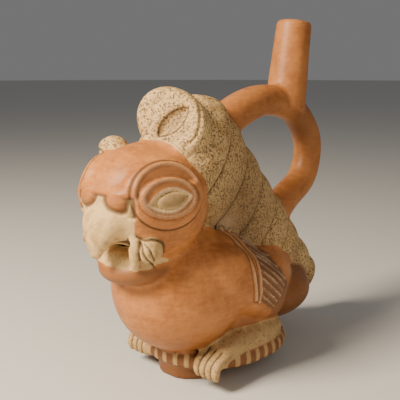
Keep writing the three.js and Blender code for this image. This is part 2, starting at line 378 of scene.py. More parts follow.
@dataclass(frozen=True)
class Turned(Form):
    """A form turned round an axis: a profile of radius and way along, flattened across."""

    start: Point
    end: Point
    profile: Sequence[Point]
    breadth: float = 1.0
    sides: int = 96

    def along(self, places: Places) -> tuple[Values, Values]:
        """The way along the axis and the distance from it, before the flattening."""
        start = np.asarray(self.start, float)
        axis = np.asarray(self.end, float) - start
        axis /= np.linalg.norm(axis)
        plain = (places - start) * (1 / self.breadth, 1, 1)
        way = plain @ axis
        return way, np.linalg.norm(plain - way[:, None] * axis, axis=1)

    def shape(self) -> bmesh.types.BMesh:
        """The turned form as a mesh of its own."""
        shape = bmesh.new()
        start, end = Vector(self.start), Vector(self.end)
        axis = (end - start).normalized()
        side = axis.cross(Vector((1, 0, 0))).normalized()
        corners = [shape.verts.new(start + axis * way + side * out) for out, way in self.profile]
        edges = [shape.edges.new(pair) for pair in zip(corners, corners[1:])]
        bmesh.ops.spin(
            shape,
            geom=corners + edges,
            cent=start,
            axis=axis,
            dvec=(0, 0, 0),
            angle=2 * math.pi,
            steps=self.sides,
            use_merge=True,
        )
        bmesh.ops.remove_doubles(shape, verts=shape.verts, dist=1e-4)
        bmesh.ops.scale(shape, vec=(self.breadth, 1, 1), verts=shape.verts)
        return shape

    def gap(self, places: Places) -> Values:
        """How far places are outside the turned form."""
        way, out = self.along(places)
        line = np.array(self.profile, float)
        order = np.argsort(line[:, 1])
        radius = np.interp(way, line[order, 1], line[order, 0])
        beyond = np.maximum(line[:, 1].min() - way, way - line[:, 1].max())
        return np.maximum((out - radius) * self.breadth**0.5, beyond)


def ring(clay: bmesh.types.BMesh, place: Matrix, sides: int) -> list[bmesh.types.BMEdge]:
    """Lays a closed ring of edges.

    Args:
        clay: Mesh to add to.
        place: Turns, sizes and places a ring of radius 1 that lies flat.
        sides: Number of corners.

    Returns:
        The ring's edges.
    """
    made = bmesh.ops.create_circle(clay, segments=sides, radius=1.0, matrix=place)
    return list({edge for vert in made["verts"] for edge in vert.link_edges})


def skin(clay: bmesh.types.BMesh, rings: list[list[bmesh.types.BMEdge]]) -> None:
    """Bridges each ring to the next, and closes both ends."""
    for first, second in zip(rings, rings[1:]):
        bmesh.ops.bridge_loops(clay, edges=first + second)
    for end in (rings[0], rings[-1]):
        bmesh.ops.contextual_create(clay, geom=end)


def join(clay: bmesh.types.BMesh, shape: bmesh.types.BMesh) -> None:
    """Moves a finished shape into a mesh."""
    carried = bpy.data.meshes.new("carried")
    shape.to_mesh(carried)
    shape.free()
    clay.from_mesh(carried)
    bpy.data.meshes.remove(carried)


def fused(
    clay: bmesh.types.BMesh, grain: float, cut: bmesh.types.BMesh | None = None
) -> bmesh.types.BMesh:
    """Presses overlapping forms into one skin, and may cut a hollow from it.

    Args:
        clay: The forms, which are used up.
        grain: Size of the skin's faces in millimetres, or 0 to leave the faces as they are.
        cut: Forms to take away, which are used up too.

    Returns:
        The skin as a new mesh.
    """
    body = as_object(clay, "pressed")
    if grain:
        press = body.modifiers.new("press", "REMESH")
        press.mode = "VOXEL"
        press.voxel_size = grain
    if cut is not None:
        tool = as_object(cut, "hollow")
        take = body.modifiers.new("take", "BOOLEAN")
        take.operation = "DIFFERENCE"
        take.solver = "MANIFOLD"
        take.object = tool
    bpy.context.view_layer.update()
    pressed = body.evaluated_get(bpy.context.evaluated_depsgraph_get())
    made = bmesh.new()
    made.from_mesh(pressed.to_mesh())
    pressed.to_mesh_clear()
    for used in (body, *([tool] if cut is not None else [])):
        bpy.data.objects.remove(used)
    return made


def as_object(shape: bmesh.types.BMesh, name: str) -> bpy.types.Object:
    """Turns a mesh in the making into an object of the scene, and frees it."""
    data = bpy.data.meshes.new(name)
    shape.to_mesh(data)
    shape.free()
    made = bpy.data.objects.new(name, data)
    bpy.context.scene.collection.objects.link(made)
    return made


def soften(clay: bmesh.types.BMesh, chosen: list[bmesh.types.BMVert], times: int) -> None:
    """Smooths the chosen corners a number of times."""
    for _ in range(times):
        bmesh.ops.smooth_vert(
            clay, verts=chosen, factor=0.5, use_axis_x=True, use_axis_y=True, use_axis_z=True
        )


def places_of(clay: bmesh.types.BMesh) -> Places:
    """The corners of a mesh, one row each."""
    return np.array([vert.co for vert in clay.verts], float).reshape(-1, 3)


def traced(places: Places, after: Places, before: Places) -> Places:
    """Where places on a carved skin were before the carving.

    Args:
        places: Places on the carved skin, or inside the vessel.
        after: Every corner of the carved skin.
        before: The same corners before the carving.

    Returns:
        The earlier place of each that is a corner of the skin, and the others unchanged.
    """
    tree = kdtree.KDTree(len(after))
    for index, place in enumerate(after):
        tree.insert(place, index)
    tree.balance()
    made = places.copy()
    for index, place in enumerate(places):
        _, found, away = tree.find(place)
        if away < TOUCHING:
            made[index] = before[found]
    return made


def hollowness(clay: bmesh.types.BMesh, places: Places) -> Values:
    """How far the corners round each place stand above it, as a share of their distance.

    Args:
        clay: The mesh.
        places: Its corners.

    Returns:
        A number above 0 in a crease and below 0 on a ridge, evened out over its neighbours.
    """
    clay.normal_update()
    clay.verts.index_update()
    normals = np.array([vert.normal for vert in clay.verts], float)
    ends = np.array([[vert.index for vert in edge.verts] for edge in clay.edges])
    ends = np.vstack((ends, ends[:, ::-1]))
    count = np.bincount(ends[:, 0], minlength=len(places))
    way = places[ends[:, 1]] - places[ends[:, 0]]
    rise = (way * normals[ends[:, 0]]).sum(1) / np.linalg.norm(way, axis=1).clip(1e-6)
    value = np.bincount(ends[:, 0], rise, len(places)) / count
    for _ in range(2):
        around = np.bincount(ends[:, 0], value[ends[:, 1]], len(places)) / count
        value = (value + around) / 2
    return value


def move_to(clay: bmesh.types.BMesh, places: Places) -> None:
    """Moves the corners of a mesh to new places."""
    for vert, place in zip(clay.verts, places.tolist()):
        vert.co = place


# ---------------------------------------------------------------- slip on the clay, with painted shade and highlights


class Slip(Enum):
    """What the brush, the burnishing stone and the years have left on the clay, with painted shade
    in its creases and hollows and painted highlights on its ridges.
    """

    CREAM = "cream_slip"
    # brown slip and smoke, and painted shade under the belly, under the chin and in the eye's
    # hollow
    UMBER_AND_SHADE = "umber_and_painted_shade"
    # painted shade in creases, grooves and gaps, with some dirt
    SHADE_AND_DIRT = "groove_shade_and_dirt"
    # wear, and painted highlights on ridges and rims
    WEAR_AND_HIGHLIGHT = "ridge_wear_and_highlight"
    SPECKLE = "speckle"


Coats = dict[Slip, Values]


def paint(coats: Coats, slip: Slip, amount: Values) -> None:
    """Lays more of one coat, where the amount is more than what is there."""
    coats[slip] = np.maximum(coats[slip], amount)


class Part:
    """A sub-assembly: forms of clay, the carving on them and the slip that dresses them."""

    def forms(self) -> list[Form]:
        """The closed lumps that the part is built from."""
        return []

    def cream(self) -> list[Form]:
        """The lumps that are covered with cream slip."""
        return []

    def fine(self, places: Places) -> Values:
        """Which places need small faces for the carving, as true or false."""
        return np.zeros(len(places), bool)

    def carve(self, places: Places) -> Values:
        """How far the relief stands out of the skin at each place."""
        return np.zeros(len(places))

    def dress(self, places: Places, coats: Coats) -> None:
        """Paints the part's colours, dirt and painted shade over the coats."""


def both(make: Callable[[float], Form]) -> list[Form]:
    """The same form on the bird's left and on its right.

    Args:
        make: Builds the form from 1 for the left side or -1 for the right.

    Returns:
        The two forms.
    """
    return [make(1.0), make(-1.0)]


def sides(ball: Ball) -> list[Form]:
    """A left-hand ball and its mirror image."""
    x, y, z = ball.at
    return [replace(ball, at=(s * x, y, z)) for s in (1, -1)]


@dataclass
class Base(Part):
    """The plain foot and the rounded plate that the bird sits on, with dashes round its rim."""

    foot: Slab = Slab(20.5, -37, 46, 0, 12)
    plate: Slab = Slab(42, -41, 55, 9, 18.5, 3.5)

    dash_step: float = 8.0
    dash_start: float = 0.8
    dash_half: float = 1.5
    dash_reach: float = 4.0  # how far a dash runs above and below the middle of the rim
    dash_rise: float = 0.6
    dash_relief: float = 0.5
    brown: float = 0.72

    def forms(self) -> list[Form]:
        """The foot and the plate."""
        return [self.foot, self.plate]

    def dashes(self, places: Places) -> Values:
        """How much of a dash of the plate's rim is at each place, from 0 to 1."""
        plate = self.plate
        radius = plate.half_width
        ahead, behind = plate.front + radius, plate.back - radius
        x, y = np.abs(places[:, 0]), places[:, 1]
        sign = np.sign(places[:, 0])
        middle = np.clip(y, ahead, behind)
        angle = np.arctan2(x, ahead - y)
        behind_angle = np.arctan2(x, y - behind)
        way = np.where(y < ahead, angle * radius, math.pi / 2 * radius + middle - ahead)
        way = np.where(y > behind, math.pi * radius + behind - ahead - behind_angle * radius, way)
        turns = (sign * way - self.dash_start) / self.dash_step
        off = np.abs(turns - np.round(turns)) * self.dash_step
        rim = np.hypot(x, y - middle) - radius
        level = np.abs(places[:, 2] - (plate.top + plate.bottom) / 2 - self.dash_rise)
        on = ease(self.dash_half + 0.7, self.dash_half - 0.5, off)
        on *= ease(self.dash_reach + 0.6, self.dash_reach - 0.6, level)
        return on * ease(-3.6, -2.6, rim) * ease(0.9, 0.4, plate.gap(places))

    def fine(self, places: Places) -> Values:
        """The plate's rim."""
        return (np.abs(self.plate.gap(places)) < 1.0) & (places[:, 2] > self.plate.bottom + 0.5)

    def carve(self, places: Places) -> Values:
        """The dashes stand out a little."""
        return self.dash_relief * self.dashes(places)

    def dress(self, places: Places, coats: Coats) -> None:
        """Leaves the plate and foot a browner red, with cream dashes."""
        near = np.minimum(self.foot.gap(places), self.plate.gap(places))
        paint(coats, Slip.UMBER_AND_SHADE, self.brown * ease(1.5, 0.3, near))
        dashes = self.dashes(places)
        paint(coats, Slip.CREAM, dashes)
        coats[Slip.UMBER_AND_SHADE] *= 1 - dashes


@dataclass
class Body(Part):
    """The breast, the back and the tail."""

    breast: Ball = Ball((0, -27, 58), (41, 42, 41))
    back: Ball = Ball((0, 20, 50), (33, 54, 28))
    tail: Ball = Ball((0, 61, 34), (29, 35, 20))
    hip: Ball = Ball((18, 10, 36), (18, 32, 14))
    tail_brown: float = 0.58
    # how dark the painted shade under the belly is
    belly_shade: float = 0.42

    def forms(self) -> list[Form]:
        """The rounded lumps of the trunk."""
        return [self.breast, self.back, self.tail, *sides(self.hip)]

    def dress(self, places: Places, coats: Coats) -> None:
        """Browns the tail, and paints shade on the underside of the belly, darker towards the
        bottom.
        """
        tail = ease(3.0, 0.5, self.tail.gap(places)) * ease(22, 34, places[:, 1])
        # painted shade, darker towards the bottom of the belly
        low = self.belly_shade * ease(52, 24, places[:, 2]) * ease(-75, -20, places[:, 1])
        paint(coats, Slip.UMBER_AND_SHADE, np.maximum(self.tail_brown * tail, low))


@dataclass
class Wings(Part):
    """Folded wings: a smooth shoulder, two collar lines and a fan of long feathers."""

    pad: Ball = Ball((22.5, -1, 59), (22.5, 42, 19), -0.49, 3.0)
    mantle: Ball = Ball((17, 2, 70), (20, 38, 15), -0.49)
    collar: Sequence[Point] = (
        (17, -10, 93),
        (25.5, -8.5, 88.2),
        (34, -9, 83),
        (41.5, -9.8, 76.5),
        (44.7, -8.6, 68.2),
        (44.9, -6.8, 58.5),
        (44.2, -5.7, 51.9),
    )
    band: Sequence[Point] = (
        (7, -5, 97),
        (17, -4, 91),
        (28, -3.5, 85.5),
        (36, -2.8, 80),
        (42, -3.4, 74),
        (44.7, -2.8, 66.8),
        (45, -2, 57.4),
        (44.1, -2.2, 49.8),
    )
    hem: Sequence[Point] = (
        (12, 48, 74),
        (22, 44, 64),
        (31, 38, 58),
        (40, 30, 55),
        (42.3, 25.5, 51),
        (43, 21.5, 47),
        (42.9, 16.3, 42.5),
        (42.7, 10.4, 41),
    )
    count: int = 11
    line_height: float = 0.7
    gutter_depth: float = 0.5
    band_depth: float = 0.6
    quill_height: float = 1.3
    band_brown: float = 0.72

    def forms(self) -> list[Form]:
        """Both wings, which rise to the shell."""
        return [*sides(self.pad), *sides(self.mantle)]

    def fan(self, places: Places) -> tuple[Values, Values, Values]:
        """Where places lie in the fan of feathers.

        Args:
            places: Places, folded to the left side.

        Returns:
            The share of the way down the fan, the share of the way back along a feather, and
            the distance from the fan.
        """
        steps = 60
        front, hem = flowing(self.band, steps), flowing(self.hem, steps)
        down, back, away = np.zeros((3, len(places)))
        away += FAR
        for index, line in enumerate(zip(front, hem)):
            gap, share = along_path(line, places)
            closer = gap < away
            down = np.where(closer, index / steps, down)
            back = np.where(closer, share, back)
            away = np.where(closer, gap, away)
        return down, back, away

    def lines(self, places: Places) -> dict[str, Values]:
        """Where the marks of the wing are.

        Args:
            places: Places on either wing.

        Returns:
            From 0 to 1 for the ridge and gutter of the collar lines, the feather band, its
            quills, and what lies behind it.
        """
        left = mirrored(places)
        near = (left[:, 0] > 12) & (np.abs(left[:, 1] - 15) < 38) & (np.abs(left[:, 2] - 65) < 32)
        names = ("ridge", "gutter", "band", "quill", "behind")
        found = {name: np.zeros(len(places)) for name in names}
        near &= np.minimum(self.pad.gap(left), self.mantle.gap(left)) < 4
        some = left[near]
        if not len(some):
            return found
        first = along_path(flowing(self.collar, 40), some)[0]
        second = along_path(flowing(self.band, 40), some)[0]
        down, back, away = self.fan(some)
        inside = ease(7, 5, away) * ease(0.0, 0.03, back) * ease(1.0, 0.975, back)
        inside *= ease(-0.001, 0.01, down) * ease(1.0, 0.985, down)
        turns = down * self.count
        quill = swell(turns - np.round(turns), 0.13)
        quill *= ease(0.04, 0.1, back) * ease(0.97, 0.9, back)
        quill *= 0.7 + 0.3 * np.sin(turns * 2.4 + back * 9)
        outside = 1 - inside
        ridge = swell(first, 0.9) + swell(second, 0.9)
        gutter = swell(first - 2.0, 0.8) * outside + swell(second - 1.9, 0.7) * outside
        found["ridge"][near] = np.minimum(ridge, 1)
        found["gutter"][near] = np.minimum(gutter, 1) * (1 - np.minimum(ridge, 1))
        found["band"][near] = inside
        found["behind"][near] = ease(0.95, 1.0, back) * ease(1.0, 0.97, down)
        found["quill"][near] = quill * inside
        return found

    def fine(self, places: Places) -> Values:
        """The collar lines and the feather band."""
        found = self.lines(places)
        return (found["band"] + found["ridge"] + found["gutter"]) > 0.05

    def carve(self, places: Places) -> Values:
        """Raised collar lines and quills over a sunk band."""
        found = self.lines(places)
        relief = self.line_height * found["ridge"] - self.gutter_depth * found["gutter"]
        return relief - self.band_depth * found["band"] + self.quill_height * found["quill"]

    def dress(self, places: Places, coats: Coats) -> None:
        """A dark band, with wear and painted highlights along its quills and the collar lines, and
        painted shade in the gutters.
        """
        found = self.lines(places)
        bare = ease(0.55, 0.45, coats[Slip.CREAM])
        band = np.maximum(found["band"], 0.8 * found["behind"]) * bare
        paint(coats, Slip.UMBER_AND_SHADE, self.band_brown * band)
        # wear, and painted highlights along the collar ridges and the quills
        paint(coats, Slip.WEAR_AND_HIGHLIGHT, 0.75 * found["ridge"])
        paint(coats, Slip.WEAR_AND_HIGHLIGHT, found["quill"] * bare)
        # painted shade in the gutters beside the collar lines
        paint(coats, Slip.SHADE_AND_DIRT, 0.7 * found["gutter"])


@dataclass
class Head(Part):
    """The skull, the ringed eyes, the cere, the hooked beak and the jaw."""

    skull: Ball = Ball((0, -53, 112), (34.5, 35.5, 35))
    eye: Facing = Facing((33.2, -66.8, 121.7), 68, 9)
    eye_ovals: Sequence[Point] = (
        (21, 19, -13),
        (23.5, 21, -9.5),
        (22.5, 20, -5.4),
        (19, 16, -3.2),
        (14, 11, -1.4),
        (8, 6, -0.4),
    )
    cere: Ball = Ball((10.5, -77.5, 119), (12, 11.5, 9))
    beak: Limb = Limb(
        (
            (0, -66, 108, 20, 15),
            (0, -79, 107, 19, 13.5),
            (0, -85, 103.5, 15, 10),
            (0, -88, 97, 10.5, 6.5),
            (0, -88.5, 90, 5, 4),
            (0, -88.5, 86.5, 2.5, 2.5),
        )
    )
    jaw: Ball = Ball((0, -64, 78), (22, 19, 9.5), 0.2)
    mouth: Ball = Ball((0, -81, 88), (25, 14, 6.5))
    lip: Ball = Ball((24, -72, 92), (5.5, 8, 8), 0.3)
    fang: Sequence[Point] = (
        (18, -78, 99, 3.5, 3.5),
        (18, -79, 92, 3.5, 3.5),
        (17, -78, 83, 3, 3),
    )
    tongue: Ball = Ball((0, -62, 84), (21, 17.5, 8.5))
    gape: Sequence[Point] = (
        (0, -89, 83.2, 3, 1.5),
        (2.2, -87, 86.2, 3, 1.4),
        (4.2, -86, 88.8, 3, 1.2),
        (7.5, -85, 92.3, 3, 0.9),
        (12, -83, 94.2, 2.5, 0.7),
        (16.5, -80, 95.8, 2, 0.6),
    )
    # lines round the eye: the middle, then the two radii
    oval: Point = (0.7, 0.6, 21.6, 19.1)
    lid: Point = (0.4, -0.9, 14.6, 9.9)
    almond: Point = (0.6, -2.2, 12.4, 6.1)
    ball: Point = (0.8, -0.1, 8.8, 4.4)
    almond_turn: float = 0.13
    # how far forward the cream of the beak reaches at each height
    beak_edge: Sequence[Point] = (
        (84, -79),
        (95, -79.5),
        (103.5, -80.3),
        (107, -81.3),
        (113, -83.4),
        (130, -84),
    )
    cheek: Facing = Facing((24, -78, 92), 60, 0)
    corner: Sequence[Point] = (
        (-3, 8.2),
        (0.5, 6.6),
        (4, 6.8),
        (8, 5.9),
        (11.8, 3.5),
        (13, -1),
        (13, -7),
        (10, -12),
    )
    fold: Sequence[Point] = ((-1.3, 5), (-0.6, -0.9), (2.5, -5.5), (8.8, -11))
    crease: Sequence[Point] = ((0.6, 4.3), (3.2, 1.8), (4.8, -2.8), (9.5, -10))
    cere_span: Point = (110, 124)  # heights of the lower and upper end of the cere's crease
    seam_depth: float = 1.5
    corner_depth: float = 1.2
    lip_height: float = 79.8  # of the lower edge of the cream on the jaw
    # how dark the painted shade under the chin is
    chin_shade: float = 0.55

    def ringed(self, places: Places) -> dict[str, Values]:
        """Distances in millimetres round the eye's rings, with the ball's dome from 0 to 1."""
        seen = self.eye.seen(mirrored(places))
        across, up, out = seen.T
        rings = {"off": np.where((out > -17) & (np.hypot(across, up) < 30), 0.0, FAR)}
        for name, (x, y, wide, high) in (("oval", self.oval), ("lid", self.lid)):
            reach = np.hypot((across - x) / wide, (up - y) / high)
            rings[name] = (reach - 1) * (wide + high) / 2 + rings["off"]
        x, y, long, high = self.almond
        turn = math.cos(self.almond_turn), math.sin(self.almond_turn)
        a = (across - x) * turn[0] + (up - y) * turn[1]
        b = (up - y) * turn[0] - (across - x) * turn[1]
        bow = high * np.clip(1 - (a / long) ** 2, 0, 1) ** 0.9
        rings["almond"] = np.maximum(np.abs(b) - bow, np.abs(a) - long) + rings["off"]
        bx, by, bl, bh = self.ball
        rings["ball"] = np.clip(1 - ((a - bx) / bl) ** 2 - ((b - by) / bh) ** 2, 0, 1)
        rings["ball"] *= rings["off"] == 0
        above = up - np.interp(across, (-21, 20), (-3, 7))
        between = ease(1.0, 3.0, rings["lid"]) * ease(-2.0, -4.0, rings["oval"])
        rings["hollow"] = ease(-0.5, 2.5, above) * between
        return rings

    def beak_line(self, places: Places) -> Values:
        """How far places are in front of the edge of the beak's cream."""
        height, edge = np.array(self.beak_edge, float).T
        line = np.interp(places[:, 2], height, edge) - places[:, 1]
        lobe = self.cere.gap(mirrored(places)) - 0.6
        line = np.minimum(np.minimum(line, lobe), 121 - places[:, 2])
        return np.where(np.abs(places[:, 0]) < 26, line, -FAR)

    def cere_line(self, places: Places) -> Values:
        """The crease where the beak comes out from under the cere, from 0 to 1."""
        low, high = self.cere_span
        upper = (places[:, 2] > low) & (places[:, 2] < high)
        return upper * swell(self.beak_line(places), 1.0)

    def corner_lines(self, places: Places) -> Values:
        """The incised lines round the corner of the mouth, from 0 to 1."""
        seen = self.cheek.seen(mirrored(places))
        near = np.abs(seen[:, 2]) < 9
        flat = seen[:, :2]
        lines = [along_path(flowing(path, 16), flat)[0] for path in (self.corner, self.fold)]
        lines.append(along_path(flowing(self.crease, 12), flat)[0] + 0.2)
        return near * swell(np.min(lines, axis=0), 0.85)

    def seams(self, places: Places) -> Values:
        """The open line under the beak and the outlines of the fangs, from 0 to 1."""
        left = mirrored(places)
        fang = Limb(self.fang, 16, 8).gap(left)
        beak = self.beak.gap(places)
        inside = np.minimum(self.tongue.gap(places), self.jaw.gap(places))
        gape = Limb(self.gape, 12, 20).gap(left)
        open_line = swell(beak - inside, 1.0) * ease(3.0, 1.2, beak) * ease(97, 94, places[:, 2])
        open_line = np.maximum(open_line, 1.3 * ease(1.0, 0.1, gape))
        outline = swell(fang - 0.9, 0.7)
        outline *= ease(101, 97, places[:, 2]) * ease(80, 83, places[:, 2])
        front = ease(-66, -70, places[:, 1])
        return front * np.maximum(open_line, 0.9 * outline)

    def fine(self, places: Places) -> Values:
        """The eyes, the beak and the mouth."""
        rings = self.ringed(places)
        face = (places[:, 1] < -60) & (places[:, 2] < 124) & (places[:, 2] > 74)
        return (rings["oval"] < 2.5) | (face & (np.abs(places[:, 0]) < 34))

    def carve(self, places: Places) -> Values:
        """Rings, lids and ball of the eyes, and the lines of the beak and mouth."""
        rings = self.ringed(places)
        relief = 0.6 * swell(rings["oval"] + 4, 2.2) - 1.0 * swell(rings["oval"], 0.9)
        relief += 0.9 * swell(rings["lid"], 1.5) - 0.6 * swell(rings["lid"] - 2.2, 0.8)
        relief -= 1.7 * rings["hollow"]
        relief -= 0.9 * ease(-0.6, -2.0, rings["almond"])
        relief += 0.5 * swell(rings["almond"], 0.8) + 2.0 * np.sqrt(rings["ball"])
        relief -= self.seam_depth * (self.cere_line(places) + self.seams(places))
        return relief - self.corner_depth * self.corner_lines(places)

    def face(self) -> bmesh.types.BMesh:
        """The skull and jaw, with the mouth cut out."""
        whole, mouth = bmesh.new(), bmesh.new()
        self.skull.lay(whole)
        self.jaw.lay(whole)
        self.mouth.lay(mouth)
        return fused(whole, 1.2, mouth)

    def openings(self) -> list[Form]:
        """The open line between the beak and the mouth, on both sides."""
        return both(lambda s: Limb([(s * p[0], *p[1:]) for p in self.gape], 12, 20))

    def fangs(self) -> list[Form]:
        """The strip of clay behind the beak on each side."""
        return both(lambda s: Limb([(s * p[0], *p[1:]) for p in self.fang], 16, 8))

    def eyes(self) -> list[Form]:
        """The mound of each eye."""
        x, y, z = self.eye.at
        turn, lift = self.eye.bearing, self.eye.lift
        return both(lambda s: Mound(Facing((s * x, y, z), s * turn, lift), self.eye_ovals))

    def forms(self) -> list[Form]:
        """What is added to the skull and jaw."""
        pairs = [*sides(self.cere), *sides(self.lip), *self.fangs(), *self.eyes()]
        return [self.beak, self.tongue, *pairs]

    def cream(self) -> list[Form]:
        """The fangs, the corners of the mouth and what is inside it."""
        return [self.tongue, *sides(self.lip), *self.fangs()]

    def dress(self, places: Places, coats: Coats) -> None:
        """Cream on the beak and lip, brown lids and eyeball, painted shade in the eye's hollow,
        under the chin and in the lines, and wear with painted highlights on the eye's rims.
        """
        rings = self.ringed(places)
        beak = np.where(places[:, 2] > 84, self.beak_line(places), -FAR)
        front = (places[:, 1] < -58) & (np.abs(places[:, 0]) < 26)
        lip = places[:, 2] - self.lip_height - 0.4 * np.maximum(places[:, 1] + 70, 0)
        lip = np.where(front & (self.jaw.gap(places) < 0.8), lip, -FAR)
        mouth = np.where(self.mouth.gap(places) < 0.6, 3.0, -FAR)
        cream = np.max((beak, lip, mouth), axis=0)
        paint(coats, Slip.CREAM, np.clip(cream / SLIP_EDGE + 0.5, 0, 1))
        inside = ease(0.5, -0.5, rings["almond"])
        paint(coats, Slip.CREAM, inside)
        lids = ease(1.5, -0.5, rings["lid"]) * (1 - inside)
        # painted shade in the eye's hollow; the lids and the ball are brown slip
        shade = np.maximum(0.42 * rings["hollow"], 0.36 * lids)
        shade = np.maximum(shade, 0.55 * ease(0.0, 0.6, rings["ball"]))
        # painted shade under the chin
        shaded_chin = self.chin_shade * ease(2.0, 0.5, self.jaw.gap(places)) * ease(81, 78, places[:, 2])
        paint(coats, Slip.UMBER_AND_SHADE, np.maximum(shade, shaded_chin))
        # wear, and painted highlights on the almond's edge and the lid
        wear_and_highlight = np.maximum(0.8 * swell(rings["almond"], 0.7), 0.45 * swell(rings["lid"] + 0.3, 0.9))
        # painted highlight along the top of the eye's outer ring
        brow_highlight = swell(rings["oval"] + 2.6, 0.8) * ease(116, 122, places[:, 2])
        wear_and_highlight = np.maximum(wear_and_highlight, 0.35 * brow_highlight)
        paint(coats, Slip.WEAR_AND_HIGHLIGHT, wear_and_highlight)
        # painted shade in the eye's rings, the mouth's corner lines, the cere's crease and the open
        # seams
        lines = np.maximum(swell(rings["oval"], 0.7), 0.6 * swell(rings["lid"] - 2.2, 0.7))
        lines = np.maximum(lines, 0.9 * self.corner_lines(places))
        lines = np.maximum(lines, 0.8 * self.cere_line(places))
        lines = np.maximum(lines, self.seams(places))
        paint(coats, Slip.SHADE_AND_DIRT, lines)


@dataclass
class Spire(Part):
    """The spired shell on the bird's back, its rolled end above the head, and its far knob."""

    front: Point = (0, -25, 134)
    apex: Point = (0, 106, 33)
    half_height: Point = (45, 15)
    breadth: float = 0.65
    first_groove: float = 0.055
    whorl: float = 0.15
    groove_depth: float = 0.1
    nose: float = 26
    coil: Facing = Facing((6, -36, 156), 30, 14, -0.75)
    coil_ovals: Sequence[Point] = (
        (18, 16, -12),
        (22, 18, -8),
        (23.2, 19.2, -3),
        (23.2, 19.2, 3),
        (22, 18, 7.5),
        (18, 14.5, 10.2),
        (10, 8, 10.8),
    )
    knob: Ball = Ball((-27.5, -53, 141), (9.5, 9, 7.5))
    leaf_from: Point = (-6.8, -8.2)
    leaf_to: Point = (9.8, 8.2)
    leaf_half: float = 5.0
    rim_line: Sequence[Point] = (
        (3, 20),
        (10.1, 18.2),
        (15.1, 12),
        (17.2, 4.2),
        (17.1, -3.6),
        (14, -10.4),
        (9, -14),
    )
    swelling: float = 3.2
    sinking: float = 2.0
    groove: float = 1.1  # depth and half-width of the crisp groove between two whorls
    leaf_depth: float = 2.6
    dish_depth: float = 1.6
    # middle of each smoked patch, how far it reaches and how dark it is
    smoke: Sequence[tuple[Point, float, float]] = (((24, 0, 108), 26, 1.0), ((20, 25, 90), 24, 0.6))
    smoke_brown: float = 0.46
    worn_at: Point = (20, -8, 94)
    worn_reach: float = 8

    def length(self) -> float:
        """From the front of the axis to the apex."""
        return math.dist(self.front, self.apex)

    def radius(self, share: float) -> float:
        """The shell's half-height at a share of its length, without grooves."""
        wide, narrow = self.half_height
        return (wide + (narrow - wide) * share) * (1 - self.groove_depth * 0.3)

    def whorls(self) -> Turned:
        """The shell as one smooth turned form."""
        steps = 40
        long = self.length()
        start, tip = self.radius(0), self.half_height[1]
        nose = ((0, 1), (0.55, 0.85), (0.87, 0.5))
        profile = [(start * out, -self.nose * back) for out, back in nose]
        profile += [(self.radius(i / steps), long * i / steps) for i in range(steps + 1)]
        profile += [(tip * 0.6, long + tip * 0.35), (0, long + tip * 0.55)]
        return Turned(self.front, self.apex, profile, self.breadth)

    def rolled(self) -> Mound:
        """The rolled end above the head."""
        return Mound(self.coil, self.coil_ovals)

    def forms(self) -> list[Form]:
        """The whorls, the rolled end and the knob."""
        return [self.whorls(), self.rolled(), self.knob]

    def cream(self) -> list[Form]:
        """All of the shell is cream."""
        return self.forms()

    def grooves(self, places: Places) -> tuple[Values, Values, Values]:
        """The turn of the whorls, the distance to a groove, and how surely a place is on them."""
        whorls = self.whorls()
        way, _ = whorls.along(places)
        share = way / self.length()
        turns = (share - self.first_groove) / self.whorl
        off = (turns - np.round(turns)) * self.whorl * self.length()
        on = ease(2.6, 0.9, np.abs(whorls.gap(places))) * ease(-0.12, -0.02, share)
        return turns, off, on

    def roll(self, places: Places) -> dict[str, Values]:
        """The leaf-shaped hollow, its edge, and the rim of the rolled end, from 0 to 1."""
        across, up, out = replace(self.coil, roll=0.0).seen(places).T
        face = ease(3.5, 6.5, out) * (np.hypot(across, up) < 26)
        start, end = np.array(self.leaf_from), np.array(self.leaf_to)
        way = (end - start) / np.linalg.norm(end - start)
        middle = (start + end) / 2
        half = np.linalg.norm(end - start) / 2
        along = ((across - middle[0]) * way[0] + (up - middle[1]) * way[1]) / half
        beside = (up - middle[1]) * way[0] - (across - middle[0]) * way[1]
        bow = self.leaf_half * np.clip(1 - along**2, 0, 1) ** 0.8
        edge = np.maximum(np.abs(beside) - bow, (np.abs(along) - 1) * half)
        rim = along_path(flowing(self.rim_line, 24), np.column_stack((across, up)))[0]
        return {
            "leaf": face * ease(0.4, -2.4, edge),
            "edge": face * swell(edge, 1.0),
            "rim": face * swell(rim, 0.9),
            "dish": face * ease(1.0, 7.0, rim) * ease(21, 14, np.hypot(across, up)),
        }

    def fine(self, places: Places) -> Values:
        """The grooves and the face of the rolled end."""
        _, off, on = self.grooves(places)
        out = self.coil.seen(places)
        face = (out[:, 2] > 3) & (np.hypot(out[:, 0], out[:, 1]) < 24)
        return ((on > 0.3) & (np.abs(off) < 3.2)) | face

    def carve(self, places: Places) -> Values:
        """Swelling whorls with a crisp groove between them, and the dished end."""
        turns, off, on = self.grooves(places)
        bulge = self.swelling * np.abs(np.sin(math.pi * turns)) ** 0.5 - self.sinking
        roll = self.roll(places)
        relief = on * (bulge - self.groove * swell(off, self.groove))
        relief += -self.leaf_depth * roll["leaf"] - 0.8 * roll["edge"]
        return relief - 0.9 * roll["rim"] - self.dish_depth * roll["dish"]

    def dress(self, places: Places, coats: Coats) -> None:
        """Speckled cream, dark in the grooves, smoked low on the near whorls."""
        _, off, on = self.grooves(places)
        roll = self.roll(places)
